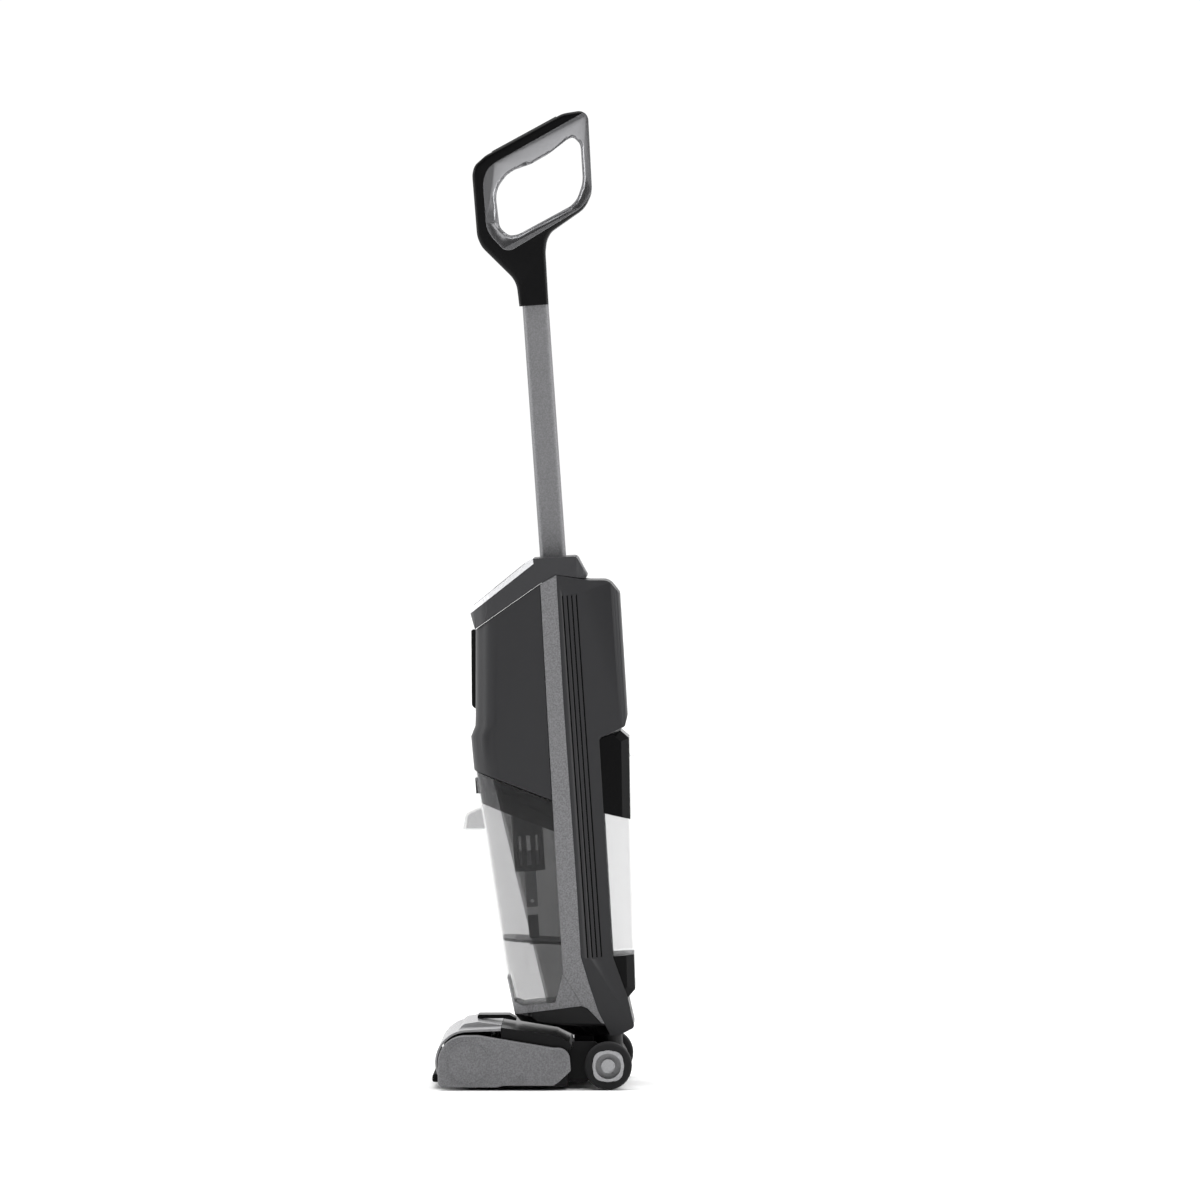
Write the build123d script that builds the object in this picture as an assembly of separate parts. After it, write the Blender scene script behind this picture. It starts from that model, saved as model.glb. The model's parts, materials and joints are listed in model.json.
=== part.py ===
from build123d import *
import math
import os

# Wet and dry floor scrubber, standing upright. Millimetres, +Z up, front is -Y, X is the width.
# The head is drawn about the wheel axle; the body is drawn upright about the same axle and then leaned.

# ---- driving dimensions ----
WHEEL_R = 27.0
LEAN = 4.0
HEAD_FRONT = 201.0
BODY_REAR = 32.0
AXLE_Y = (HEAD_FRONT - BODY_REAR) / 2

HEAD_HALF_W = 121.0
SIDE_COVER_T = 14.0
BRUSH_Y = -160.5
BRUSH_Z = 30.5
PILE_R = 30.2
CORE_R = 18.0
CORE_BORE_R = 15.0
HOOD_R = 37.0
HOOD_WALL = 2.4

BODY_HALF_W = 62.0
BODY_WALL = 2.5
TUBE_U = -24.0
TUBE_DEPTH = 30.0
TUBE_WIDTH = 26.0
TUBE_WALL = 1.6
TUBE_BASE = 505.0
TUBE_TOP = 915.0

TANK_HALF_W = 58.0
TANK_WALL = 2.5
TANK_CORNER_R = 28.0
CLEAN_HALF_W = 57.0

HANDLE_HALF_W = 17.0

GAP = 0.3
FIT = 0.06
DRAW_STEP = 0.5


# ---- placing and saving ----
def on_floor(shape):
    """Head pieces: drawn with the axle at Y 0 and the floor at Z 0."""
    return Pos(0, AXLE_Y, 0) * shape


def on_body(shape):
    """Body pieces: drawn upright from the axle, then leaned forward about it."""
    return Pos(0, AXLE_Y, WHEEL_R) * (Rot(LEAN, 0, 0) * shape)


def save(name, shape):
    solids = shape.solids()
    export_step(solids[0] if len(solids) == 1 else Compound(children=list(solids)), f"parts/{name}.step")


# ---- drawing helpers ----
def outline(points, radii=0):
    """A closed face from (Y, Z) points, with one radius for all corners or one per corner."""
    if radii == 0:
        return make_face(Polyline(*points, close=True))
    return make_face(FilletPolyline(*points, radius=radii, close=True))


def inset(face, amount):
    return offset(face, amount=-amount, kind=Kind.INTERSECTION)


def side_prism(face, x_low, x_high):
    """A side-view face made solid between two places across the width."""
    return Pos(x_low, 0, 0) * extrude(Plane.YZ * face, x_high - x_low, dir=(1, 0, 0))


def block(x, y, z):
    """A box from (low, high) pairs."""
    sizes = [high - low for low, high in (x, y, z)]
    middles = [(low + high) / 2 for low, high in (x, y, z)]
    return Pos(*middles) * Box(*sizes)


def x_rod(radius, x_low, x_high, y, z):
    return Pos((x_low + x_high) / 2, y, z) * (Rot(0, 90, 0) * Cylinder(radius, x_high - x_low))


def z_rod(radius, z_low, z_high, x, y):
    return Pos(x, y, (z_low + z_high) / 2) * Cylinder(radius, z_high - z_low)


def y_rod(radius, y_low, y_high, x, z):
    return Pos(x, (y_low + y_high) / 2, z) * (Rot(90, 0, 0) * Cylinder(radius, y_high - y_low))


def both_sides(shape):
    return shape + mirror(shape, Plane.YZ)


# ---- cleaning head ----
COVER_POINTS = [(-194, 3), (-126.5, 3), (-119.5, 5), (-62.5, 5), (-56.5, 9), (-42.5, 22), (-44.5, 48),
                (-62.5, 48), (-147, 62), (-194, 62)]
COVER_RADII = [6, 3, 3, 3, 3, 2, 14, 20, 30, 31]
COVER_WALL = 2.0
RING_R = 25.0
SCREW_R = 2.2
SCREW_PLACES = [(-56, 38), (-100, 12)]


def side_cover():
    """Right side cover: a shallow cup over the end of the brush, with a raised ring on the brush axis."""
    outer_x = HEAD_HALF_W + SIDE_COVER_T
    face = outline(COVER_POINTS, COVER_RADII)
    cup = side_prism(face, HEAD_HALF_W + DRAW_STEP, outer_x)
    cup = fillet(cup.faces().sort_by(Axis.X)[-1].edges(), 1.8)
    cup -= side_prism(inset(face, COVER_WALL), HEAD_HALF_W, outer_x - COVER_WALL)
    ring = x_rod(RING_R, outer_x - 0.4, outer_x + 0.8, BRUSH_Y, BRUSH_Z)
    ring -= x_rod(RING_R - 1.6, outer_x - 1, outer_x + 1, BRUSH_Y, BRUSH_Z)
    cup += ring
    for y, z in SCREW_PLACES:
        cup += x_rod(SCREW_R + 2, HEAD_HALF_W + DRAW_STEP, outer_x - 1, y, z)
        cup -= x_rod(SCREW_R, HEAD_HALF_W, outer_x + 1, y, z)
    return cup


def head_screws():
    """Pan-head screws that hold the side covers, seen on the outer faces."""
    outer_x = HEAD_HALF_W + SIDE_COVER_T
    screws = Part()
    for y, z in SCREW_PLACES:
        screw = x_rod(SCREW_R - 0.2, HEAD_HALF_W - 4, outer_x, y, z)
        screw += x_rod(SCREW_R + 1.6, outer_x, outer_x + 1.2, y, z)
        screw -= Pos(outer_x + 1.2, y, z) * Box(1.2, 3.4, 0.7)
        screw -= Pos(outer_x + 1.2, y, z) * Box(1.2, 0.7, 3.4)
        screws += screw
    return both_sides(screws)


TRAY_Z = 4.0
TRAY_T = 3.0
TRAY_FRONT = -130.5
TRAY_REAR = -46.5
END_X = HEAD_HALF_W - 3.0
END_TOP = [(TRAY_REAR, 45), (-60, 47), (-122, 57.5)]
PIN_R = 8.0
BOSS_R = 6.0
ROLLER_Y = -119.0
ROLLER_R = 6.0
ROLLER_PIN_R = 1.5
ROLLER_X = 78.0


def end_plate():
    points = [(-150, 5), (-120, TRAY_Z), (TRAY_REAR, TRAY_Z)] + END_TOP + [(-160, 58), (-184, 48), (-184, 14)]
    plate = side_prism(outline(points), END_X, HEAD_HALF_W)
    plate -= x_rod(PIN_R + FIT, END_X - 1, HEAD_HALF_W + 1, BRUSH_Y, BRUSH_Z)
    plate -= x_rod(BOSS_R, END_X - 1, HEAD_HALF_W + 1, MOTOR_Y, MOTOR_Z)
    for y, z in SCREW_PLACES:
        plate += x_rod(SCREW_R + 2, HEAD_HALF_W - 8, HEAD_HALF_W, y, z)
        plate -= x_rod(SCREW_R - 0.2, HEAD_HALF_W - 6, HEAD_HALF_W + 1, y, z)
    return plate


def roller_brackets():
    """Two ears each side of a support roller, in a slot through the tray."""
    ears = block((ROLLER_X - 10, ROLLER_X + 10), (ROLLER_Y - 4, ROLLER_Y + 4), (TRAY_Z, 9.5))
    return ears


def head_chassis():
    """Tray under the head, with a plate at each end and an arched wall behind the brush."""
    tray = block((-END_X, END_X), (TRAY_FRONT, TRAY_REAR), (TRAY_Z, TRAY_Z + TRAY_T))
    tray += block((-END_X, END_X), (TRAY_FRONT, TRAY_FRONT + 5), (TRAY_Z, 14))
    arch_r = PILE_R + 5.8
    arch = x_rod(arch_r + 2.5, -END_X, END_X, BRUSH_Y, BRUSH_Z) - x_rod(arch_r, -END_X, END_X, BRUSH_Y, BRUSH_Z)
    arch &= block((-END_X, END_X), (BRUSH_Y + 10, TRAY_FRONT + 12), (9.2, 56))
    back = block((-END_X, END_X), (TRAY_REAR - 3, TRAY_REAR), (TRAY_Z, 45))
    frame = tray + arch + back + both_sides(end_plate()) + both_sides(roller_brackets())
    slot = block((ROLLER_X - 6.5, ROLLER_X + 6.5), (ROLLER_Y - 7, ROLLER_Y + 7), (0, 12))
    pin_hole = x_rod(ROLLER_PIN_R + FIT, ROLLER_X - 11, ROLLER_X + 11, ROLLER_Y, ROLLER_R)
    frame -= both_sides(slot + pin_hole)
    frame -= block((-30, 30), (-150, -100), (9, 34))
    return frame - y_rod(DUCT_R, TRAY_REAR - 4, TRAY_REAR + 1, 0, DUCT_Z)


def support_rollers():
    """Pair of small rollers that carry the front of the head."""
    roller = x_rod(ROLLER_R, ROLLER_X - 6, ROLLER_X + 6, ROLLER_Y, ROLLER_R)
    roller += x_rod(ROLLER_PIN_R, ROLLER_X - 9.5, ROLLER_X + 9.5, ROLLER_Y, ROLLER_R)
    return both_sides(roller)


DUCT_R = 14.0
DUCT_Z = 27.0
DUCT_WALL = 1.6


def suction_duct():
    """Duct that narrows and rises from the mouth behind the brush to a round spigot at the back."""
    def passage(wall):
        side = outline([(-122, 9.5 + wall), (-122, 33.5 - wall), (-80, 42 - wall), (-80, 12 + wall)])
        narrowing = Polyline((-29 + wall, -122), (29 - wall, -122), (15 - wall, -80), (wall - 15, -80), close=True)
        return side_prism(side, -29, 29) & extrude(make_face(narrowing), 60)
    spigot = y_rod(DUCT_R, -81, TRAY_REAR + 2, 0, DUCT_Z)
    return passage(0) + spigot - passage(DUCT_WALL) - y_rod(DUCT_R - DUCT_WALL, -82, -40, 0, DUCT_Z)


def head_top_cover():
    """Black lid over the back of the head, between the side covers."""
    lid = side_prism(outline([(-122, 70.5), (-59.5, 61.5), (-44.5, 54), (-42, 46), (TRAY_REAR, 46)] + END_TOP),
                     -HEAD_HALF_W, HEAD_HALF_W)
    room = outline([(-123, 68), (-60, 59), (-46.6, 52), (-45, 44), (-123, 44)])
    return lid - side_prism(room, -END_X, END_X)


def squeegee():
    """Rubber blade behind the brush, held against the front edge of the tray."""
    blade = block((-108, 108), (-136.5, -134.8), (0.6, 6))
    return blade + block((-110, 110), (-137.5, TRAY_FRONT), (5.2, 9))


SPRAY_Y = -112.0
SPRAY_Z = 62.0


def spray_bar():
    """Pipe with nozzles that wets the brush from above, clipped under the lid."""
    pipe = x_rod(3.2, -96, 96, SPRAY_Y, SPRAY_Z)
    for n in range(7):
        pipe += y_rod(1.6, SPRAY_Y - 13, SPRAY_Y, -84 + 28 * n, SPRAY_Z)
    for x in (-70, 0, 70):
        pipe += block((x - 3, x + 3), (SPRAY_Y - 2, SPRAY_Y + 2), (SPRAY_Z, SPRAY_Z + 4.1))
    return pipe - x_rod(1.8, -97, 90, SPRAY_Y, SPRAY_Z)


MOTOR_Y = -76.5
MOTOR_Z = 32.0
MOTOR_SHAFT_R = 2.5
PULLEY_LOW = -HEAD_HALF_W - 7.5
PULLEY_HIGH = PULLEY_LOW + 6.0


def brush_motor():
    """Long direct-current motor that turns the brush through a belt at its left end."""
    can = x_rod(17, -112, -42, MOTOR_Y, MOTOR_Z)
    can = fillet(can.edges().filter_by(GeomType.CIRCLE), 2)
    can += x_rod(BOSS_R, -HEAD_HALF_W, -111, MOTOR_Y, MOTOR_Z)
    can += block((-105, -50), (MOTOR_Y - 12, MOTOR_Y + 12), (TRAY_Z + TRAY_T, MOTOR_Z - 8))
    return can - x_rod(MOTOR_SHAFT_R + FIT, -125, -70, MOTOR_Y, MOTOR_Z)


def motor_pulley():
    """Motor shaft with its toothed pulley."""
    shaft = x_rod(MOTOR_SHAFT_R, PULLEY_LOW - 0.5, -75, MOTOR_Y, MOTOR_Z)
    return shaft + toothed_wheel(MOTOR_PULLEY_R, 12, MOTOR_Y, MOTOR_Z)


MOTOR_PULLEY_R = 7.0
BRUSH_PULLEY_R = 14.0
BELT_T = 1.8


def toothed_wheel(radius, teeth, y, z):
    wheel = x_rod(radius, PULLEY_LOW, PULLEY_HIGH, y, z)
    for n in range(teeth):
        angle = 2 * math.pi * n / teeth
        wheel -= x_rod(0.8, PULLEY_LOW, PULLEY_HIGH, y + radius * math.cos(angle), z + radius * math.sin(angle))
    return wheel


def drive_belt():
    """Flat loop from the motor pulley to the brush pulley."""
    def loop(extra):
        small = Pos(MOTOR_Y, MOTOR_Z) * Circle(MOTOR_PULLEY_R + extra)
        large = Pos(BRUSH_Y, BRUSH_Z) * Circle(BRUSH_PULLEY_R + extra)
        return make_hull((small + large).edges())
    ring = loop(GAP + BELT_T) - loop(GAP)
    return side_prism(ring, PULLEY_LOW + 0.5, PULLEY_HIGH - 0.5)


def brush_core():
    """Hollow tube of the brush roll, closed at each end by a plug with a bearing pin."""
    core = x_rod(CORE_R, -116, 116, BRUSH_Y, BRUSH_Z) - x_rod(CORE_BORE_R, -106, 106, BRUSH_Y, BRUSH_Z)
    return core + x_rod(PIN_R, 110, 129, BRUSH_Y, BRUSH_Z) + x_rod(PIN_R, -121.6, -110, BRUSH_Y, BRUSH_Z)


def brush_pile():
    """Soft pile round the core."""
    return x_rod(PILE_R, -114, 114, BRUSH_Y, BRUSH_Z) - x_rod(CORE_R, -115, 115, BRUSH_Y, BRUSH_Z)


def brush_pulley():
    """Toothed pulley on the left pin of the brush."""
    pulley = toothed_wheel(BRUSH_PULLEY_R, 24, BRUSH_Y, BRUSH_Z)
    return pulley + x_rod(PIN_R, PULLEY_HIGH, -121.6, BRUSH_Y, BRUSH_Z)


HOOD_DOME = [(-178, 56), (-166.5, 72), (-150, 74.5), (-122.5, 71), (-122.5, 52), (-178, 40)]


def brush_hood():
    """Light removable hood over the brush, open at its ends, with a raised dome in the middle."""
    half = END_X - GAP
    inner_r = HOOD_R - HOOD_WALL
    shoulder = outline([(BRUSH_Y, BRUSH_Z), (BRUSH_Y, BRUSH_Z + HOOD_R), (-122.5, 69.5), (-122.5, BRUSH_Z)])
    shell = x_rod(HOOD_R, -half, half, BRUSH_Y, BRUSH_Z) + side_prism(shoulder, -half, half)
    shell += side_prism(outline(HOOD_DOME, [8, 10, 8, 1, 1, 1]), -80, 80)
    room = outline([(BRUSH_Y, -20), (BRUSH_Y, BRUSH_Z + inner_r), (-121, 66.5), (-121, -20)])
    shell -= x_rod(inner_r, -half - 1, half + 1, BRUSH_Y, BRUSH_Z) + side_prism(room, -half - 1, half + 1)
    shell -= block((-200, 200), (BRUSH_Y - 0.1, -80), (-20, 58.5))
    return shell - block((-200, 200), (-300, BRUSH_Y), (-20, 7))


def front_bumper():
    """Soft strip along the foot of the hood."""
    strip = block((-100, 100), (-HEAD_FRONT, BRUSH_Y - 28), (7, 16))
    strip = fillet(strip.edges().filter_by(Axis.X).group_by(Axis.Y)[0], 2.5)
    return strip - x_rod(HOOD_R, -101, 101, BRUSH_Y, BRUSH_Z)


LATCH_HALF_W = 22.0


def hood_latch():
    """Sliding catch on top of the hood, with a slot at each side."""
    points = [(-151, 75.2), (-151, 79.5), (-114.5, 79.5), (-106.5, 75), (-106.5, 72.6), (-122, 75.2)]
    catch = side_prism(outline(points, [0.5, 2, 2, 1, 0.5, 0.5]), -LATCH_HALF_W, LATCH_HALF_W)
    grip = block((LATCH_HALF_W - 1.5, LATCH_HALF_W + 1), (-139.5, -116), (76.4, 78))
    return catch - both_sides(grip)


# ---- axle, wheels and neck ----
AXLE_R = 4.0
TRUNNION_R = 7.0
DRUM_R = 22.0
DRUM_HALF_W = 36.0
ARM_LOW = 40.0
ARM_HIGH = 98.0
TYRE_LOW = 102.0
TYRE_HIGH = 128.0
HUB_R = 18.0
NECK_R = 17.0
NECK_WALL = 2.5
NECK_TOP = 66.0


def axle_carrier():
    """Casting at the back of the head that holds the neck's trunnions and the wheel axles."""
    bar = [(TRAY_REAR, 8), (TRAY_REAR, 45.5), (-41.5, 45.5), (-36.5, 29), (-24, 24), (-24, 8)]
    part = side_prism(outline(bar), -ARM_HIGH, ARM_HIGH)
    arm = x_rod(20, ARM_LOW, ARM_HIGH, 0, WHEEL_R) + block((ARM_LOW, ARM_HIGH), (-30, 0), (9, 40))
    arm -= x_rod(TRUNNION_R + FIT, ARM_LOW - 1, 51, 0, WHEEL_R)
    arm -= x_rod(AXLE_R, 50, ARM_HIGH + 1, 0, WHEEL_R)
    cheek = outline([(-41.5, 9), (-41.5, 53), (-15, 53), (-6, 45), (-6, 9)])
    part += both_sides(arm + side_prism(cheek, ARM_HIGH - 10, ARM_HIGH))
    part -= x_rod(DRUM_R + 1.5, -ARM_LOW + 1.5, ARM_LOW - 1.5, 0, WHEEL_R)
    return part - y_rod(DUCT_R, TRAY_REAR - 1, -10, 0, DUCT_Z)


def wheel_axles():
    """Stub axle each side, with a collar against the arm."""
    stub = x_rod(AXLE_R, 60, 126, 0, WHEEL_R) + x_rod(8, ARM_HIGH, TYRE_LOW - 0.5, 0, WHEEL_R)
    return both_sides(stub)


def tyre():
    """Rubber tyre with a shallow groove round the tread."""
    ring = x_rod(WHEEL_R, TYRE_LOW, TYRE_HIGH, 0, WHEEL_R)
    ring = fillet(ring.edges().filter_by(GeomType.CIRCLE), 3)
    middle = (TYRE_LOW + TYRE_HIGH) / 2
    groove = x_rod(WHEEL_R + 1, middle - 1, middle + 1, 0, WHEEL_R)
    groove -= x_rod(WHEEL_R - 1, middle - 1, middle + 1, 0, WHEEL_R)
    return ring - groove - x_rod(HUB_R, TYRE_LOW - 1, TYRE_HIGH + 1, 0, WHEEL_R)


def hub():
    """Grey hub: a round barrel with a rounded-square outer rim and a dished middle."""
    barrel = x_rod(HUB_R, TYRE_LOW, TYRE_HIGH, 0, WHEEL_R)
    rim = Plane.YZ * (Pos(0, WHEEL_R) * RectangleRounded(34, 34, 11))
    barrel += Pos(TYRE_HIGH, 0, 0) * extrude(rim, 1.5, dir=(1, 0, 0))
    barrel -= x_rod(14.5, 116, TYRE_HIGH + 3, 0, WHEEL_R)
    barrel += x_rod(8, 115, TYRE_HIGH, 0, WHEEL_R)
    barrel -= x_rod(14.5, TYRE_LOW - 1, 112, 0, WHEEL_R) - x_rod(8.5, TYRE_LOW - 2, 113, 0, WHEEL_R)
    return barrel - x_rod(AXLE_R + FIT, TYRE_LOW - 1, 126.3, 0, WHEEL_R)


def neck_yoke():
    """Hollow drum on the axle line with a window to the duct, and a tube up into the body."""
    drum = x_rod(DRUM_R, -DRUM_HALF_W, DRUM_HALF_W, 0, 0) + x_rod(TRUNNION_R, -50, 50, 0, 0)
    drum += z_rod(NECK_R, 0, NECK_TOP, 0, 0)
    drum -= x_rod(DRUM_R - 3, -DRUM_HALF_W + 3, DRUM_HALF_W - 3, 0, 0)
    drum -= z_rod(NECK_R - NECK_WALL, 0, NECK_TOP + 1, 0, 0)
    return drum - block((-DUCT_R, DUCT_R), (-DRUM_R - 1, 0), (-DUCT_R, DUCT_R))


# ---- body: outlines in the leaned-back frame, as (rearward, upward) from the axle ----
FRONT_LINE = [(-104, 62), (-110, 104), (-124, 274.5), (-128, 313.6), (-131, 348), (-131.7, 383), (-126, 395),
              (-125, 405), (-118, 504), (-114, 560)]
STRIP_FRONT = [(-40, 552), (-42, 416), (-44.4, 212), (-45, 104)]
STRIP_REAR = [(-23.5, 123), (-22.7, 200), (-23, 415), (-21, 561)]
CRADLE_SEAM = [(-45, 104), (-41, 97), (-28, 72), (-26.5, 66.8)]
COVER_FOOT = [(-130, 344), (-42.5, 303.4)]
SEAT_SLOPE = (COVER_FOOT[0][1] - COVER_FOOT[1][1]) / (COVER_FOOT[0][0] - COVER_FOOT[1][0])
SPINE_U = -25.0
SPINE_T = 2.5
TANK_REAR = -34.0
TANK_FLOOR = 71.4
TANK_DROP = 1.2
LIP_T = 3.0
LIP_TOP = 104.8


def seat_line(u, drop=0.0):
    """Height of the sloping joint between motor cover and dirty tank."""
    return COVER_FOOT[1][1] + SEAT_SLOPE * (u - COVER_FOOT[1][0]) - drop


def front_at(w):
    """Rearward place of the front face at a height, along its straight runs."""
    for (u_low, w_low), (u_high, w_high) in zip(FRONT_LINE, FRONT_LINE[1:]):
        if w <= w_high:
            break
    return u_low + (u_high - u_low) * (w - w_low) / (w_high - w_low)


def bow_section(w, wall, half_w, rear):
    points = [(-half_w + wall, rear), (-half_w + wall, front_at(w) + wall),
              (half_w - wall, front_at(w) + wall), (half_w - wall, rear)]
    corner = TANK_CORNER_R - wall
    return Pos(0, 0, w) * make_face(FilletPolyline(*points, radius=[0, corner, corner, 0], close=True))


def bow_body(low, high, wall=0.0, half_w=BODY_HALF_W, rear=TANK_REAR):
    """Upright body with a flat back and rounded front corners that follows the front line."""
    heights = [low] + [w for _, w in FRONT_LINE if low < w < high] + [high]
    return loft([bow_section(w, wall, half_w, rear) for w in heights], ruled=True)


UNDERCUT = [(0, -60), (125, -60), (125, 66), (112, 62), (104, 58.6), (99, 52), (57, 41.4), (42.5, 33),
            (38, 30.4), (0, 30.4)]


def swivel_room():
    """Space under the body that has to stay free as it swivels over the head."""
    profile = Plane.XZ * make_face(Polyline(*UNDERCUT, close=True))
    return revolve(profile, Axis.Z, 360)


def body_base():
    """Dark boot at the foot of the body, with the collar that turns on the neck tube."""
    points = [(-104, 62), (-103, 50), (-42, 29), (3.8, 29), (-1.9, 44.4), (-5.2, 45.5), (-20, 63.3),
              (-26.7, 66.6)]
    boot = side_prism(outline(points), -BODY_HALF_W + 0.5, BODY_HALF_W - 0.5)
    boot &= Pos(0, 0, -20) * bow_plan(-104, 100)
    boot -= block((-54, 54), (-84, -30), (54, 70))
    boot += z_rod(21.4, 30.4, 62, 0, 0)
    boot -= swivel_room()
    return boot - z_rod(NECK_R + FIT, 20, 80, 0, 0)


def bow_plan(front, height):
    points = [(-BODY_HALF_W, 40), (-BODY_HALF_W, front), (BODY_HALF_W, front), (BODY_HALF_W, 40)]
    face = make_face(FilletPolyline(*points, radius=[0, 30, 30, 0], close=True))
    return extrude(face, height)


def tank_cradle():
    """Silver shoe that the dirty tank stands in, with a low lip round its front."""
    points = [(-112, 104), (-107.4, 103.6), (-102.8, 76), (-93, TANK_FLOOR), (-56, TANK_FLOOR + 1.6),
              (-45.6, 104)] + CRADLE_SEAM[1:] + [(-104.5, 62)]
    shoe = bow_body(62, 104, rear=-20) & side_prism(outline(points), -BODY_HALF_W, BODY_HALF_W)
    well = bow_body(TANK_FLOOR, 110, wall=LIP_T - 0.6, half_w=BODY_HALF_W, rear=-10)
    return shoe - well - block((-50, 50), (-90, -35), (60, 67.5))


def side_strip():
    """Long silver cheek on the right, from the boot to the top of the body."""
    lower = [(-28, 72), (-26.5, 66.8), (-19.7, 63.5), (-5, 45.7), (-1.6, 44.6), (-7.8, 58.5), (-16.6, 92.6)]
    points = STRIP_FRONT + [(-41, 97)] + lower + STRIP_REAR
    strip = side_prism(outline(points), BODY_HALF_W - BODY_WALL, BODY_HALF_W + 0.5)
    return strip - bow_body(62, 104, wall=-0.02, rear=-27)


REAR_EDGE = [(16.4, 552.5), (38.2, 551), (49.8, 535), (48.7, 393), (45.3, 382.7), (16.8, 372), (15, 369),
             (13.8, 285), (12.7, 122), (27.2, 71.4), (32.3, 38), (14.7, 30.5), (4.2, 30.5), (-1.6, 44.6),
             (-7.8, 58.5), (-16.6, 92.6)]
GROOVE_PLACES = [-15.5, -10.2, -5.0, 0.3]
BAY_U = 0.0
JACK_R = 2.75
JACK_FLOOR = 23.3
JACK_W = 56.0


def rear_shell():
    """Dark rear shell: battery room above, narrow spine behind the tanks, foot below, grooved sides."""
    radii = [6, 14, 6, 4, 4, 2, 2, 0, 10, 2, 4, 3, 0, 0, 0, 0] + [0] * len(STRIP_REAR)
    face = outline(REAR_EDGE + STRIP_REAR, radii)
    shell = side_prism(face, -BODY_HALF_W, BODY_HALF_W)
    corners = make_face(FilletPolyline((-BODY_HALF_W, -40), (-BODY_HALF_W, 49.9), (BODY_HALF_W, 49.9),
                                       (BODY_HALF_W, -40), radius=[0, 10, 10, 0], close=True))
    shell &= extrude(corners, 600)
    half = BODY_HALF_W - BODY_WALL
    rooms = [(-40, 558.5), (15.5, 549.8), (37, 548.2), (47.2, 534), (46.2, 394), (43.8, 385), (16, 374.7),
             (BAY_U - SPINE_T, 368.4), (BAY_U - SPINE_T, 68.9), (25, 68.9), (29.2, 41), (14, 33.4), (-40, 33.4)]
    inner_corners = make_face(FilletPolyline((-half, -50), (-half, 47.4), (half, 47.4), (half, -50),
                                             radius=[0, 8, 8, 0], close=True))
    shell -= side_prism(outline(rooms), -half, half) & extrude(inner_corners, 600)
    bay = [(BAY_U, 71.4), (60, 71.4), (60, 388.2), (16.8, 372), (BAY_U, 366.5)]
    shell -= side_prism(outline(bay), -half, half)
    for u in GROOVE_PLACES:
        groove = block((BODY_HALF_W - 1, BODY_HALF_W + 1), (u - 0.75, u + 0.75), (120, 538))
        shell -= both_sides(groove)
    shell -= z_rod(22, 0, 60, 0, 0)
    shell -= tube_section(0.6, 540, 570)
    boss = y_rod(JACK_R + 2.5, JACK_FLOOR - 1.5, 31, 0, JACK_W) & side_prism(face, -20, 20)
    return shell + boss - y_rod(JACK_R, JACK_FLOOR, 40, 0, JACK_W)


SHELF_W = 500.0


def inner_frame():
    """Spine panel, sloping deck under the motor and the socket for the handle tube."""
    half = BODY_HALF_W - BODY_WALL
    frame = block((-half, half), (SPINE_U, SPINE_U + SPINE_T), (68, SHELF_W))
    deck = [(-140, seat_line(-140, -5.5)), (SPINE_U, seat_line(SPINE_U, -5.5)), (SPINE_U, seat_line(SPINE_U, -3)),
            (-140, seat_line(-140, -3))]
    plate = side_prism(outline(deck), -half, half) & bow_body(290, 360, wall=BODY_WALL, rear=-10)
    collar = z_rod(MOTOR_NECK_R + 3, 300, FAN_CASE_LOW, 0, FAN_U)
    above = [(-140, seat_line(-140, -4)), (-10, seat_line(-10, -4)), (-10, 400), (-140, 400)]
    collar &= side_prism(outline(above), -60, 60)
    frame += plate + collar
    frame -= block((-20, 20), (-30, -20), (266, 284))
    frame -= z_rod(MOTOR_NECK_R, 290, 400, 0, FAN_U)
    frame += block((-half, half), (-62, 18), (SHELF_W, SHELF_W + 4.5))
    sleeve = tube_section(2.5, SHELF_W + 4.5, 547) - tube_section(0.05, SHELF_W + 4.5, 548)
    return frame + sleeve


def tube_section(extra, low, high):
    """Rounded-rectangle prism on the handle tube's axis, larger than the tube by extra all round."""
    face = Pos(0, TUBE_U) * RectangleRounded(TUBE_WIDTH + 2 * extra, TUBE_DEPTH + 2 * extra, 6 + extra)
    return Pos(0, 0, low) * extrude(face, high - low)


def handle_tube():
    return tube_section(0, TUBE_BASE, TUBE_TOP) - tube_section(-TUBE_WALL, TUBE_BASE - 1, TUBE_TOP + 1)


def front_cover():
    """Dark bow-fronted cover over the motor, with a finger scoop low on its front."""
    skin = bow_body(300, 556, rear=-38) - bow_body(299, 557, wall=BODY_WALL, rear=-30)
    points = [(-40.7, 551), (-118.5, 504), (-150, 504), (-150, seat_line(-150)), (-44, seat_line(-44)), (-42.6, 416)]
    return skin & side_prism(outline(points), -BODY_HALF_W - 1, BODY_HALF_W + 1)


TRIM_HALF_W = 20.0


def front_trim():
    """Black strip down the middle of the front cover."""
    points = [(-123.4, 504.9), (-110, 502), (-118, 412), (-129, 415.5)]
    bar = side_prism(outline(points, [2, 0, 0, 6]), -TRIM_HALF_W, TRIM_HALF_W)
    return bar - bow_body(390, 520, rear=-60)


HOUSING = [(-118.5, 505.2), (-122.6, 523), (-122, 530), (-51, 580), (-46, 581.6), (3.4, 581), (16, 553.9),
           (-21, 561.4), (-40.5, 552.3)]
DISPLAY_SEAT = [(-124, 522.65), (-46.2, 575.6)]
BUTTON_U = 9.7
BUTTON_W = 567.4
BUTTON_TILT = 24.8


def housing_plan(inset_by):
    half = BODY_HALF_W - 0.4 - inset_by
    face = make_face(FilletPolyline((-half, 16.5 - inset_by), (-half, -123 + inset_by), (half, -123 + inset_by),
                                    (half, 16.5 - inset_by), radius=[14, 30 - inset_by, 30 - inset_by, 14],
                                    close=True))
    return Pos(0, 0, 490) * extrude(face, 100)


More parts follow.
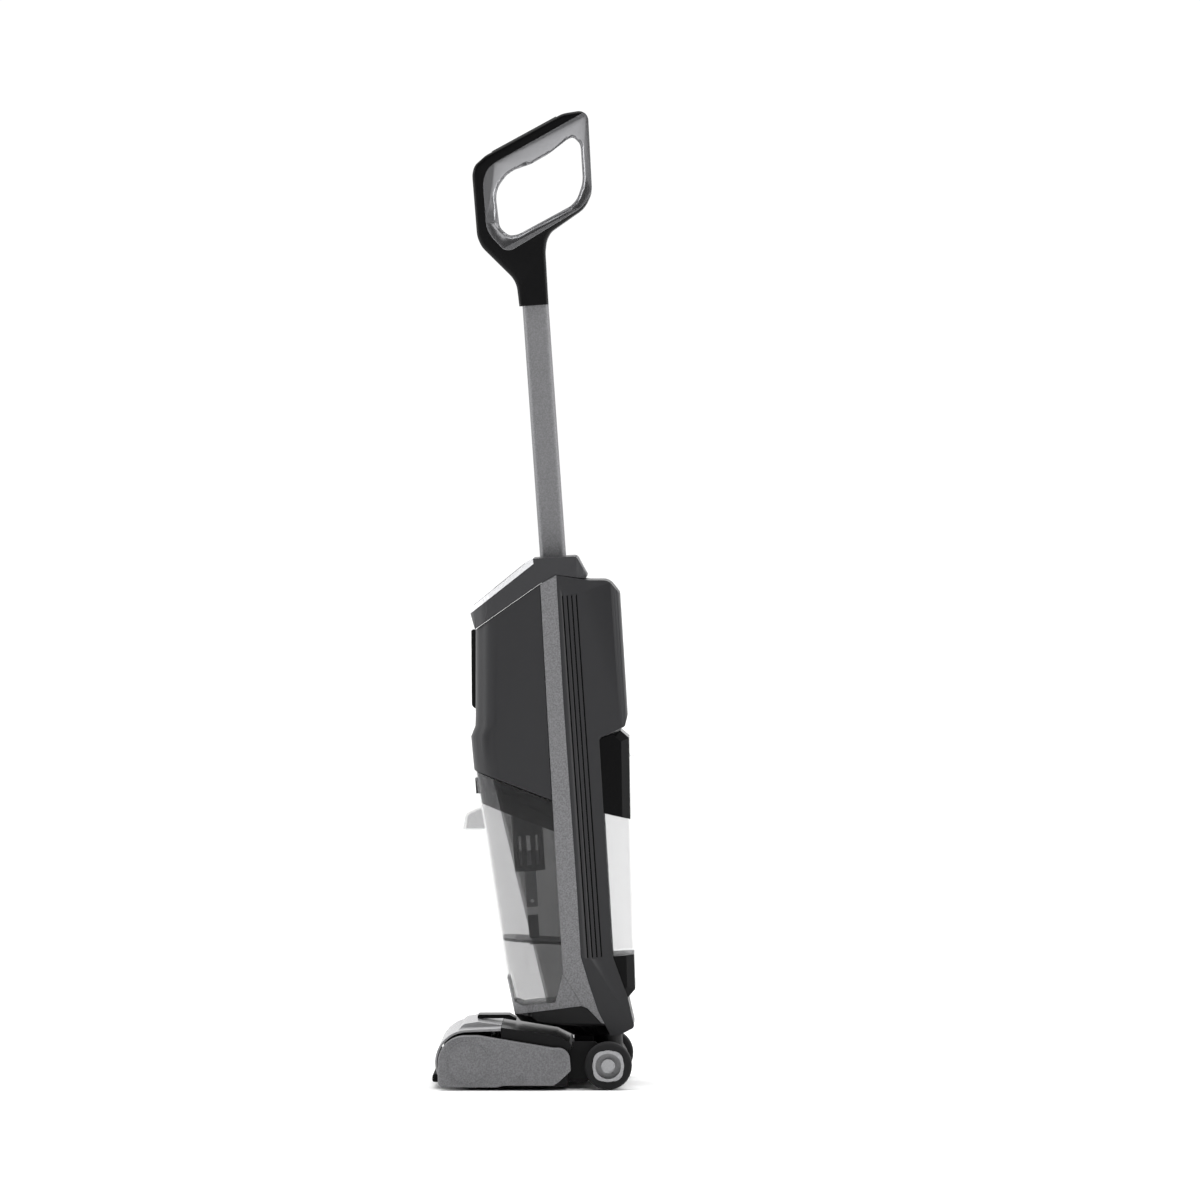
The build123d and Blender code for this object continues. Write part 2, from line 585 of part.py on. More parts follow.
def display_frame():
    """Bright sloping frame round the display."""
    points = [DISPLAY_SEAT[0], (-122, 530), (-51, 580), (-46.6, 581.4), DISPLAY_SEAT[1]]
    frame = side_prism(outline(points, [0, 2, 0, 0, 0]), -BODY_HALF_W, BODY_HALF_W) & housing_plan(0)
    return frame - lens_block(0)


def lens_block(extra):
    """Slab let into the sloping face."""
    slab = Box(88 + extra, 76 + extra, 3)
    slab = fillet(slab.edges().filter_by(Axis.Z), 10)
    return Pos(0, -86.5, 555 - 1.4) * (Rot(35.2, 0, 0) * slab)


def display_lens():
    return lens_block(-0.1)


def display_housing():
    """Black collar round the foot of the handle tube, running forward under the display."""
    body = side_prism(outline(HOUSING, [0, 3, 2, 6, 2, 6, 3, 0, 0]), -BODY_HALF_W, BODY_HALF_W) & housing_plan(0)
    frame_room = [DISPLAY_SEAT[0], (-124, 534), (-51, 585), (-46.2, 585), DISPLAY_SEAT[1]]
    body -= side_prism(outline(frame_room), -BODY_HALF_W - 1, BODY_HALF_W + 1)
    room = [(-115.5, 500), (-119.2, 521.5), (-47, 572.3), (-44, 577.6), (-8.5, 577.6), (-8.5, 500)]
    body -= side_prism(outline(room), -BODY_HALF_W, BODY_HALF_W) & housing_plan(3)
    body -= tube_section(0.05, 490, 600)
    pocket = Pos(0, -2.6, 0) * Box(28.6, 12, 18.6)
    return body - on_button(pocket)


def on_button(shape):
    return Pos(0, BUTTON_U, BUTTON_W) * (Rot(BUTTON_TILT, 0, 0) * shape)


def handle_release_button():
    """Grey press button behind the tube collar."""
    block_shape = Box(28, 6, 18)
    block_shape = fillet(block_shape.faces().sort_by(Axis.Y)[-1].edges(), 1)
    return on_button(Pos(0, -2, 0) * block_shape)
# ---- drive and electrics inside the body ----
FAN_U = -74.0
FAN_R = 38.0
FAN_CASE_R = 44.0
FAN_CASE_LOW = 352.0
FAN_CASE_HIGH = 440.0
MOTOR_NECK_R = 21.0


def suction_motor():
    """Vacuum motor: fan chamber below, motor can above."""
    can = z_rod(FAN_CASE_R, FAN_CASE_LOW, 384, 0, FAN_U) + z_rod(34, 384, FAN_CASE_HIGH, 0, FAN_U)
    can = fillet(can.edges().filter_by(GeomType.CIRCLE).sort_by(Axis.Z)[-1], 5)
    can -= z_rod(FAN_R + 2, FAN_CASE_LOW + 3, 381, 0, FAN_U)
    can -= z_rod(15, FAN_CASE_LOW - 1, FAN_CASE_LOW + 4, 0, FAN_U)
    for n in range(12):
        slot = Pos(39, 0, 0) * Box(6, 5, 26)
        can -= Pos(0, FAN_U, 410) * (Rot(0, 0, 30 * n) * slot)
    for n in range(8):
        slot = Pos(34, 0, 0) * Box(5, 5, 30)
        can -= Pos(0, FAN_U, 412) * (Rot(0, 0, 45 * n) * slot)
    return can - z_rod(4 + FIT, 380, 402, 0, FAN_U)


def fan_impeller():
    """Closed centrifugal impeller on the motor shaft."""
    fan = z_rod(FAN_R, 358, 359.5, 0, FAN_U) + z_rod(FAN_R, 376, 378, 0, FAN_U) + z_rod(9, 358, 378, 0, FAN_U)
    fan -= z_rod(14, 357, 359.6, 0, FAN_U) - z_rod(9, 356, 360, 0, FAN_U)
    for n in range(9):
        blade = Pos(22.5, 0, 368) * (Rot(0, 0, 25) * Box(30, 1.4, 17.5))
        fan += Pos(0, FAN_U, 0) * (Rot(0, 0, 40 * n) * blade)
    return fan + z_rod(4, 358, 401, 0, FAN_U)


def battery_pack():
    """Two rows of cells in a case above the clean tank."""
    case = block((-50, 50), (-17, 40), (388, 490))
    case = fillet(case.edges().filter_by(Axis.X), 6)
    foot = block((-40, 40), (-12, 30), (375, 389))
    floor_line = [(-30, 340), (60, 340), (60, 391.3), (16, 374.7), (-2.5, 368.4), (-30, 360)]
    foot -= side_prism(outline(floor_line), -50, 50)
    return case + foot


def water_pump():
    """Diaphragm pump in the foot of the spine that feeds the spray bar."""
    pump = block((30, 58), (-21.5, -3.5), (80, 118))
    pump += z_rod(8.5, 117, 150, 44, -12.5)
    pump += block((36, 52), (-22.5, -2.5), (90, 110))
    return pump + z_rod(3, 70, 81, 38, -12.5)


def riser_duct():
    """Flat duct up the spine from the neck to the inlet of the dirty tank."""
    duct = block((-24, 24), (SPINE_U + SPINE_T + 1.5, -3.5), (68, 288))
    duct += block((-24, 24), (SPINE_U + SPINE_T, -20), (262, 288))
    duct += block((-24, 24), (-10, BAY_U - SPINE_T), (150, 160))
    duct -= block((-22, 22), (-19, -5.5), (67, 286))
    return duct - block((-20, 20), (-24, -10), (266, 284))


# ---- dirty-water tank ----
GRAB_HALF_W = 21.0
RELEASE_LOW = 316.0
RELEASE_HIGH = 334.0
RELEASE_HALF_W = 15.0
LID_DEPTH = 36.0
CAGE_U = -75.5
CAGE_R = 17.5
FLOAT_R = 14.0


def below_seat(drop, foot):
    """Side-view wedge below the sloping joint line, lowered by drop."""
    points = [(-170, seat_line(-170, drop)), (0, seat_line(0, drop)), (0, foot), (-170, foot)]
    return side_prism(outline(points), -80, 80)


def dirty_tank():
    """Clear dirty-water tank, open at its sloping top."""
    foot_half = TANK_HALF_W + LIP_T
    outer = bow_body(LIP_TOP, 352, half_w=TANK_HALF_W, rear=TANK_REAR) & below_seat(TANK_DROP, 60)
    outer += bow_body(TANK_FLOOR, LIP_TOP, wall=LIP_T, half_w=foot_half, rear=TANK_REAR)
    inner = bow_body(LIP_TOP + TANK_WALL, 356, wall=TANK_WALL, half_w=TANK_HALF_W, rear=TANK_REAR - TANK_WALL)
    inner += bow_body(TANK_FLOOR + TANK_WALL, LIP_TOP + TANK_WALL, wall=LIP_T + TANK_WALL, half_w=foot_half,
                      rear=TANK_REAR - TANK_WALL)
    window = block((-RELEASE_HALF_W - GAP, RELEASE_HALF_W + GAP), (-140, -118),
                   (RELEASE_LOW - GAP, RELEASE_HIGH + GAP))
    inlet = block((-22, 22), (-38, -30), (264, 286))
    return outer - inner - window - inlet + tank_grab()


def tank_grab():
    """Clear hood-shaped grip on the front of the dirty tank, open underneath."""
    outer = outline([(-118, 300.5), (-130.5, 299.5), (-144.6, 294), (-149.4, 276), (-118, 274)], [0, 5, 6, 2, 0])
    inner = outline([(-117, 297.8), (-130, 296.8), (-142.6, 291.6), (-146.6, 270), (-117, 270)], [0, 4, 5, 0, 0])
    grip = side_prism(outer, -GRAB_HALF_W, GRAB_HALF_W) - side_prism(inner, -GRAB_HALF_W + 2.6, GRAB_HALF_W - 2.6)
    return grip - bow_body(200, 345, half_w=TANK_HALF_W, rear=TANK_REAR)


def tank_lid():
    """Black tray-shaped lid in the top of the tank, with a well for the filter."""
    lid = bow_body(258, 352, wall=TANK_WALL, half_w=TANK_HALF_W, rear=TANK_REAR - TANK_WALL)
    lid = (lid & below_seat(TANK_DROP, 60)) - below_seat(LID_DEPTH, 50)
    well = bow_body(258, 354, wall=TANK_WALL + 3.2, half_w=TANK_HALF_W, rear=TANK_REAR - TANK_WALL - 3.2)
    lid -= well - below_seat(LID_DEPTH - 3, 50) - block((-22, 22), (-150, -108), (200, 400))
    lid -= block((-17, 17), (-150, -112), (RELEASE_LOW - 1.5, RELEASE_HIGH + 1.5))
    lid -= block((-23, 23), (-48, -30), (262, 283))
    return lid - z_rod(12, 250, 310, 0, CAGE_U)


def air_filter():
    """Pleated filter in the well of the lid."""
    core = bow_body(280, 352, wall=TANK_WALL + 3.8, half_w=TANK_HALF_W, rear=-50)
    core &= block((-50, 50), (-107, -50), (200, 400))
    core = (core & below_seat(TANK_DROP + 2, 60)) - below_seat(LID_DEPTH - 9, 50)
    for n in range(11):
        core -= block((-46 + 9 * n, -44 + 9 * n), (-102, -55), (310, 400))
    legs = block((-44, -40), (-100, -56), (200, 400)) + block((40, 44), (-100, -56), (200, 400))
    legs = (legs & below_seat(LID_DEPTH - 10, 60)) - below_seat(LID_DEPTH - 3, 50)
    return core + legs


def float_cage():
    """Slotted cage under the lid that guides the float."""
    cage = z_rod(CAGE_R, 223, 300, 0, CAGE_U) - z_rod(CAGE_R - 2, 225.5, 301, 0, CAGE_U)
    cage -= z_rod(9, 222, 226, 0, CAGE_U)
    cage = cage & below_seat(LID_DEPTH, 100)
    for n in range(10):
        slot = Pos(CAGE_R, 0, 0) * Box(8, 5, 34)
        cage -= Pos(0, CAGE_U, 247) * (Rot(0, 0, 36 * n) * slot)
    return cage


def tank_float():
    """Float with a flat tongue below; it rises and shuts the air way when the tank is full."""
    float_body = z_rod(FLOAT_R, 225.8, 246, 0, CAGE_U)
    float_body = fillet(float_body.edges().filter_by(GeomType.CIRCLE), 2)
    tongue = block((-3, 3), (CAGE_U - 6.5, CAGE_U + 6.5), (181, 227))
    return float_body + tongue - x_rod(2, -4, 4, CAGE_U, 188)


def strainer():
    """Sloping comb plate across the tank that catches coarse dirt."""
    points = [(-125, 152), (-20, 138), (-20, 134.5), (-125, 148.5)]
    plate = side_prism(outline(points), -80, 80)
    plate = plate & bow_body(100, 200, wall=TANK_WALL, half_w=TANK_HALF_W, rear=TANK_REAR - TANK_WALL)
    for n in range(13):
        plate -= block((-49.5 + 8 * n, -46.5 + 8 * n), (-98, -48), (120, 170))
    return plate + block((-3, 3), (-82, -70), (138, 172))


def tank_release_button():
    """Black catch button high on the front of the dirty tank."""
    catch = block((-RELEASE_HALF_W, RELEASE_HALF_W), (-131, -119), (RELEASE_LOW, RELEASE_HIGH))
    return fillet(catch.edges().filter_by(Axis.Y), 3)


# ---- clean-water tank ----
CLEAN_FRONT = 1.0
CLEAN_FOOT = 72.0
CLEAN_BASE_TOP = 121.0


def clean_block(points, wall=0.0):
    """Part of the clean tank: a side outline with chamfered rear corners."""
    half = CLEAN_HALF_W - wall
    solid = side_prism(outline(points), -half, half)
    corners = [e for e in solid.edges() if abs(e.center().X) > half - 1 and e.center().Y > 30]
    return chamfer(corners, 9 - wall)


def clean_tank():
    """Clear tank body."""
    outer = clean_block([(CLEAN_FRONT, CLEAN_BASE_TOP), (37.5, CLEAN_BASE_TOP), (44, 276), (CLEAN_FRONT, 289)])
    inner = clean_block([(CLEAN_FRONT + 2.2, CLEAN_BASE_TOP + 2.2), (35.4, CLEAN_BASE_TOP + 2.2), (42.6, 300),
                         (CLEAN_FRONT + 2.2, 300)], 2.2)
    return outer - inner


def clean_tank_top():
    """Black upper housing of the clean tank, with the filler inside."""
    outer = clean_block([(CLEAN_FRONT, 289), (44, 276), (49, 369), (40, 378), (16, 370.5), (CLEAN_FRONT, 365.5)])
    inner = clean_block([(CLEAN_FRONT + 2.5, 270), (41.3, 262), (46.4, 367), (38.8, 374.6), (16.6, 367.8),
                         (CLEAN_FRONT + 2.5, 363)], 2.5)
    return outer - inner


def clean_tank_base():
    """Black foot of the clean tank."""
    outer = clean_block([(CLEAN_FRONT, CLEAN_FOOT), (27, CLEAN_FOOT), (36, 81), (37.5, CLEAN_BASE_TOP),
                         (CLEAN_FRONT, CLEAN_BASE_TOP)], 0)
    return outer - block((-50, 50), (CLEAN_FRONT + 4, 27), (84, CLEAN_BASE_TOP + 1))


# ---- handle ----
HANDLE_OUT = [(-42.5, 871), (-44, 900), (-81, 942), (-85.3, 954.4), (-86, 1026), (-82.5, 1036), (-69, 1046.5),
              (22.6, 1088.4), (51.8, 1090.9), (50, 995.7), (40.4, 978),
              (-0.3, 953.5), (-6, 943.8), (-8.2, 931), (-9, 871)]
HANDLE_RADII = [0, 30, 28, 30, 26, 15, 30, 30, 11, 30, 30, 19, 26, 30, 0]
FINGER_LOOP = [(-61, 1005), (-44.5, 1026), (-18.5, 1033), (2.5, 1043), (25.7, 1058.6), (32.5, 1060.6),
               (40.5, 1052.4), (40.4, 1008), (32.7, 990), (25.5, 982.3), (-37.6, 953.6), (-48, 952.6),
               (-59, 962.7)]
LOOP_RADII = [30, 34, 60, 60, 19, 5.0, 12, 41, 25, 22, 26, 10, 15]
BEZEL_OUT = [(-74, 1016.5), (-67.7, 1031), (-59, 1037.4), (48, 1088.3), (60, 1088), (60, 1012.7), (38.8, 979.6),
             (-47.3, 935.6), (-55.7, 937), (-73.7, 958.6)]
BEZEL_RADII = [32, 17, 40, 0, 0, 40, 40, 11, 9, 33]
KEYS = [("power_button", 1001.0, 1018.7), ("mode_button", 982.6, 997.6), ("clean_button", 961.7, 979.0)]
KEY_HALF_W = 9.0
GRIP_TILT = 24.6


def grip_box(width, thick, rise):
    """Slab lying along the sloping top of the handle."""
    slab = Pos(0, 0, rise) * Box(width, 84, thick)
    return Pos(0, -23.2, 1067.45) * (Rot(GRIP_TILT, 0, 0) * slab)


def handle_shells():
    """Hollow closed-loop handle, both halves together."""
    face = outline(HANDLE_OUT, HANDLE_RADII)
    solid = side_prism(face, -HANDLE_HALF_W, HANDLE_HALF_W)
    rims = [e for e in solid.edges() if abs(abs(e.center().X) - HANDLE_HALF_W) < 0.01 and e.center().Z > 872]
    solid = fillet(rims, 4.5)
    ring = outline(BEZEL_OUT, BEZEL_RADII)
    hollow = inset(face, 3) - offset(ring, amount=3, kind=Kind.INTERSECTION)
    solid -= side_prism(hollow, -HANDLE_HALF_W + 4, HANDLE_HALF_W - 4) - tube_section(2.5, 860, TUBE_TOP + 2)
    solid -= side_prism(ring, -HANDLE_HALF_W - 1, HANDLE_HALF_W + 1)
    solid -= tube_section(0.05, 860, TUBE_TOP)
    solid -= block((-KEY_HALF_W - 2, KEY_HALF_W + 2), (-100, -83), (961, 1019.5))
    for _, low, high in KEYS:
        solid -= block((-KEY_HALF_W - GAP, KEY_HALF_W + GAP), (-90, -76), (low - GAP, high + GAP))
    return solid - grip_box(22, 2.4, -0.4)


def handle_half(side):
    x_range = (-40, 0) if side < 0 else (0, 40)
    return handle_shells() & block(x_range, (-200, 200), (800, 1200))


def handle_bezel():
    """Silver ring round the finger opening, bevelled towards the opening on both sides."""
    face = outline(BEZEL_OUT, BEZEL_RADII) & outline(HANDLE_OUT, HANDLE_RADII)
    ring = side_prism(face, -HANDLE_HALF_W - 0.6, HANDLE_HALF_W + 0.6)
    loop = outline(FINGER_LOOP, LOOP_RADII)
    ring -= side_prism(loop, -30, 30)
    wide = offset(loop, amount=4.5, kind=Kind.ARC)
    bevel = loft([Plane.YZ.offset(HANDLE_HALF_W - 4) * loop, Plane.YZ.offset(HANDLE_HALF_W + 0.7) * wide], ruled=True)
    return ring - both_sides(bevel)


def key(low, high):
    cap = block((-KEY_HALF_W, KEY_HALF_W), (-84.3, -77.5), (low, high))
    return fillet(cap.edges().filter_by(Axis.Y), 2)


# ---- every piece in its place ----
def head_nodes():
    right_cover = side_cover()
    right_tyre = tyre()
    right_hub = hub()
    return {
        "head_chassis": head_chassis(),
        "head_top_cover": head_top_cover(),
        "side_cover_right": right_cover,
        "side_cover_left": mirror(right_cover, Plane.YZ),
        "head_screws": head_screws(),
        "suction_duct": suction_duct(),
        "squeegee": squeegee(),
        "spray_bar": spray_bar(),
        "brush_motor": brush_motor(),
        "motor_pulley": motor_pulley(),
        "drive_belt": drive_belt(),
        "brush_core": brush_core(),
        "brush_pile": brush_pile(),
        "brush_pulley": brush_pulley(),
        "brush_hood": brush_hood(),
        "front_bumper": front_bumper(),
        "hood_latch": hood_latch(),
        "support_rollers": support_rollers(),
        "axle_carrier": axle_carrier(),
        "wheel_axles": wheel_axles(),
        "tyre_right": right_tyre,
        "tyre_left": mirror(right_tyre, Plane.YZ),
        "hub_right": right_hub,
        "hub_left": mirror(right_hub, Plane.YZ),
    }


def body_nodes():
    right_strip = side_strip()
    nodes = {
        "neck_yoke": neck_yoke(),
        "body_base": body_base(),
        "tank_cradle": tank_cradle(),
        "side_strip_right": right_strip,
        "side_strip_left": mirror(right_strip, Plane.YZ),
        "rear_shell": rear_shell(),
        "inner_frame": inner_frame(),
        "front_cover": front_cover(),
        "front_trim": front_trim(),
        "display_housing": display_housing(),
        "display_frame": display_frame(),
        "display_lens": display_lens(),
        "handle_release_button": handle_release_button(),
        "suction_motor": suction_motor(),
        "fan_impeller": fan_impeller(),
        "battery_pack": battery_pack(),
        "water_pump": water_pump(),
        "riser_duct": riser_duct(),
        "dirty_tank": dirty_tank(),
        "tank_lid": tank_lid(),
        "air_filter": air_filter(),
        "float_cage": float_cage(),
        "tank_float": tank_float(),
        "strainer": strainer(),
        "tank_release_button": tank_release_button(),
        "clean_tank": clean_tank(),
        "clean_tank_top": clean_tank_top(),
        "clean_tank_base": clean_tank_base(),
        "handle_tube": handle_tube(),
        "handle_shell_left": handle_half(-1),
        "handle_shell_right": handle_half(1),
        "handle_bezel": handle_bezel(),
        "grip_pad": grip_box(22, 2.4, -0.4),
    }
    for name, low, high in KEYS:
        nodes[name] = key(low, high)
    return nodes


os.makedirs("parts", exist_ok=True)
for name, shape in head_nodes().items():
    save(name, on_floor(shape))
for name, shape in body_nodes().items():
    save(name, on_body(shape))
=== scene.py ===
# Upright wet and dry floor scrubber, standing with its back leaned a little forward on its wheels.
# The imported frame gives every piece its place; the sections below give each its finish and fine parts.
import json
import math
import bpy
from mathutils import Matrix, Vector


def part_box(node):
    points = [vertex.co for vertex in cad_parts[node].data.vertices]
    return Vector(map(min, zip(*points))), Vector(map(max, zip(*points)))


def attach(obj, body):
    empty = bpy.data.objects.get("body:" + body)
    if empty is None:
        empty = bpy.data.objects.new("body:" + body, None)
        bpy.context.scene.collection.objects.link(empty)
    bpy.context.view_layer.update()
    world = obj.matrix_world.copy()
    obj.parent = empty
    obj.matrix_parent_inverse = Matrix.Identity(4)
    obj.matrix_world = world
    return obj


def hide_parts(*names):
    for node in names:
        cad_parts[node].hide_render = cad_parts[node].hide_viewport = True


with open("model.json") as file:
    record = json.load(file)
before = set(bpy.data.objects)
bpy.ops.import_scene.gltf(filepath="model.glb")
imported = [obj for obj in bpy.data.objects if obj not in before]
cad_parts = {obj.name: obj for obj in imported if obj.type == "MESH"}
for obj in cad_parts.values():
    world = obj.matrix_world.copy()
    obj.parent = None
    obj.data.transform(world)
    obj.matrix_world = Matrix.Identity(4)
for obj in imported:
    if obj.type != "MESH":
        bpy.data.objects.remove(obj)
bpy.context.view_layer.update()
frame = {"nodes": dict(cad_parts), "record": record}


# ---- the room ----
# A white studio: a pale floor, a white surround and three soft boxes.
# The long lens stands far off to the right of the machine, a little above the middle of it.
FRAME_HEIGHT = 1.380
LENS_DISTANCE = 12.0
LENS_RISE = math.radians(1.15)
LENS_TURN = math.radians(0.57)
LOOK_AT = (0.0, 0.0739, 0.5555)
SENSOR_MM = 36
FLOOR_SIZE = 60
FLOOR_DROP = 0.0005
SURROUND_WHITE = 1.05
SURROUND_DARK = 0.12
FADE_FROM = -0.1
FADE_TO = 0.45
OVERHEAD_POWER = 2.0
OVERHEAD_SPREAD = math.radians(70)


def linear(hex_colour):
    """Linear colour, with full alpha, from an sRGB hex string."""
    parts = [int(hex_colour[i:i + 2], 16) / 255 for i in (1, 3, 5)]
    curve = [p / 12.92 if p <= 0.04045 else ((p + 0.055) / 1.055) ** 2.4 for p in parts]
    return (*curve, 1.0)


def add_node(tree, kind, settings=None, **links):
    """Adds a shader node. Each link names an input, by number (i0) or name, and is a socket or a value."""
    made = tree.nodes.new(kind)
    for key, value in (settings or {}).items():
        setattr(made, key, value)
    for key, value in links.items():
        by_number = key[0] == "i" and key[1:].isdigit()
        socket = made.inputs[int(key[1:]) if by_number else key]
        if isinstance(value, bpy.types.NodeSocket):
            tree.links.new(value, socket)
        else:
            socket.default_value = value
    return made


def new_material(name):
    """An empty node material and its shader."""
    material = bpy.data.materials.new(name)
    material.use_nodes = True
    tree = material.node_tree
    tree.nodes.clear()
    shader = tree.nodes.new("ShaderNodeBsdfPrincipled")
    output = tree.nodes.new("ShaderNodeOutputMaterial")
    tree.links.new(shader.outputs[0], output.inputs[0])
    return material, tree, shader


floor_paint, _, floor_shader = new_material("white_painted_board")
floor_shader.inputs["Base Color"].default_value = linear("#ffffff")
floor_shader.inputs["Roughness"].default_value = 0.9
bpy.ops.object.select_all(action="DESELECT")
bpy.ops.mesh.primitive_plane_add(size=FLOOR_SIZE, location=(0, 0, -FLOOR_DROP))
floor = bpy.context.object
floor.name = "studio_floor"
floor.data.materials.append(floor_paint)

# The surround is white behind the machine and dark on the side that the lens looks from.
world = bpy.data.worlds.new("white_room")
bpy.context.scene.world = world
world.use_nodes = True
surround = world.node_tree
facing = add_node(surround, "ShaderNodeSeparateXYZ",
                  i0=add_node(surround, "ShaderNodeTexCoord").outputs["Generated"]).outputs[0]
fade = add_node(surround, "ShaderNodeMapRange", i0=facing, i1=FADE_FROM, i2=FADE_TO,
                i3=SURROUND_WHITE, i4=SURROUND_DARK)
surround.links.new(fade.outputs[0], surround.nodes["Background"].inputs[1])
surround.nodes["Background"].inputs[0].default_value = linear("#ffffff")

# A wide overhead light keeps the whole floor white.
overhead = bpy.data.lights.new("overhead", "SUN")
overhead.energy = OVERHEAD_POWER
overhead.angle = OVERHEAD_SPREAD
overhead_lamp = bpy.data.objects.new("overhead", overhead)
bpy.context.collection.objects.link(overhead_lamp)

# Soft boxes: name, place, what they face, width, height, power.
SOFT_BOXES = [
    ("key_box", (1.7, 1.2, 1.9), (0, 0.0, 0.6), 0.8, 1.4, 7),
    ("front_box", (0.5, -2.2, 1.2), (0, 0.0, 0.5), 0.6, 2.0, 16),
    ("back_box", (0.4, 2.2, 1.0), (0, 0.0, 0.5), 0.5, 2.0, 14),
]
for name, place, aim, width, height, power in SOFT_BOXES:
    light = bpy.data.lights.new(name, "AREA")
    light.shape = "RECTANGLE"
    light.size = width
    light.size_y = height
    light.energy = power
    lamp = bpy.data.objects.new(name, light)
    lamp.location = place
    bpy.context.collection.objects.link(lamp)
    direction = [aim[i] - place[i] for i in range(3)]
    flat = math.hypot(direction[0], direction[1])
    lamp.rotation_euler = (math.atan2(flat, -direction[2]), 0, math.atan2(-direction[0], direction[1]))

lens = bpy.data.cameras.new("long_lens")
lens.sensor_width = SENSOR_MM
lens.lens = SENSOR_MM * LENS_DISTANCE / FRAME_HEIGHT
lens.clip_end = 100
camera = bpy.data.objects.new("camera", lens)
bpy.context.collection.objects.link(camera)
reach = LENS_DISTANCE * math.cos(LENS_RISE)
camera.location = (LOOK_AT[0] + reach * math.cos(LENS_TURN), LOOK_AT[1] + reach * math.sin(LENS_TURN),
                   LOOK_AT[2] + LENS_DISTANCE * math.sin(LENS_RISE))
camera.rotation_euler = (math.pi / 2 - LENS_RISE, 0, math.pi / 2 + LENS_TURN)
bpy.context.scene.camera = camera
bpy.context.scene.view_settings.view_transform = "Standard"


# ---- handle ----
# Two glossy-satin ABS shells screwed together round a silver-painted ring, with a soft pad on top.
# The moulded grain is about 0.3 mm and the metal flake about 0.1 mm; both are drawn coarser, so that
# they show. One wave of the noise is two grains.
GRAIN_MM = 0.5
GRAINS_IN_WAVE = 2
FLAKE_MM = 1.7
TONE_SPREAD = 0.07
DULLER = 0.05
GLOSSIER = 0.04
BODY_OF = {node: body for body, nodes in frame["record"]["behaviour"]["bodies"].items() for node in nodes}


def clean_copy(node, angle=30):
    """A CAD piece's own shape with its points joined, so that its curves shade smoothly."""
    bpy.ops.object.select_all(action="DESELECT")
    piece = frame["nodes"][node].copy()
    piece.data = piece.data.copy()
    piece.name = node + "_skin"
    bpy.context.collection.objects.link(piece)
    piece.select_set(True)
    bpy.context.view_layer.objects.active = piece
    bpy.ops.object.mode_set(mode="EDIT")
    bpy.ops.mesh.select_all(action="SELECT")
    bpy.ops.mesh.remove_doubles(threshold=0.00001)
    bpy.ops.mesh.dissolve_limited(angle_limit=math.radians(0.5))
    bpy.ops.object.mode_set(mode="OBJECT")
    bpy.ops.object.shade_smooth_by_angle(angle=math.radians(angle))
    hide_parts(node)
    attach(piece, BODY_OF[node])
    return piece


def wear(material, *pieces):
    """Puts one material on pieces, which are objects or CAD node names."""
    for piece in pieces:
        target = frame["nodes"][piece] if isinstance(piece, str) else piece
        target.data.materials.clear()
        target.data.materials.append(material)


def moulded_plastic(name, colour, roughness, edge_mm=0.6, grain=0.12, shine=0.3):
    """Moulded ABS: an even colour, a fine spark-eroded grain and slightly rounded edges."""
    material, tree, shader = new_material(name)
    place = add_node(tree, "ShaderNodeTexCoord").outputs["Object"]
    fine = add_node(tree, "ShaderNodeTexNoise", i0=place, Scale=1000 / GRAIN_MM / GRAINS_IN_WAVE, Detail=2.0)
    broad = add_node(tree, "ShaderNodeTexNoise", i0=place, Scale=9.0, Detail=3.0)
    tone = add_node(tree, "ShaderNodeValToRGB", i0=broad.outputs[0])
    base = linear(colour)
    tone.color_ramp.elements[0].color = (*[c * (1 - TONE_SPREAD) for c in base[:3]], 1)
    tone.color_ramp.elements[1].color = (*[min(1, c * (1 + TONE_SPREAD)) for c in base[:3]], 1)
    sheen = add_node(tree, "ShaderNodeMapRange", i0=fine.outputs[0], i3=roughness - GLOSSIER,
                     i4=roughness + DULLER)
    edge = add_node(tree, "ShaderNodeBevel", {"samples": 4}, i0=edge_mm / 1000)
    bump = add_node(tree, "ShaderNodeBump", Strength=grain, Distance=0.0001, Height=fine.outputs[0],
                    Normal=edge.outputs[0])
    tree.links.new(tone.outputs[0], shader.inputs["Base Color"])
    tree.links.new(sheen.outputs[0], shader.inputs["Roughness"])
    tree.links.new(bump.outputs[0], shader.inputs["Normal"])
    shader.inputs["IOR"].default_value = 1.53
    shader.inputs["Specular IOR Level"].default_value = shine
    return material


def flake_paint(name, colour, roughness, metallic, spread):
    """Plastic with fine aluminium flake in it: a grey with a light and dark speckle."""
    material, tree, shader = new_material(name)
    place = add_node(tree, "ShaderNodeTexCoord").outputs["Object"]
    flake = add_node(tree, "ShaderNodeTexNoise", i0=place, Scale=1000 / FLAKE_MM, Detail=1.0)
    tone = add_node(tree, "ShaderNodeValToRGB", i0=flake.outputs[0])
    base = linear(colour)
    tone.color_ramp.elements[0].position = 0.3
    tone.color_ramp.elements[1].position = 0.7
    tone.color_ramp.elements[0].color = (*[c * (1 - spread) for c in base[:3]], 1)
    tone.color_ramp.elements[1].color = (*[min(1, c * (1 + spread)) for c in base[:3]], 1)
    edge = add_node(tree, "ShaderNodeBevel", {"samples": 4}, i0=0.0006)
    tree.links.new(tone.outputs[0], shader.inputs["Base Color"])
    tree.links.new(edge.outputs[0], shader.inputs["Normal"])
    shader.inputs["Roughness"].default_value = roughness
    shader.inputs["Metallic"].default_value = metallic
    return material


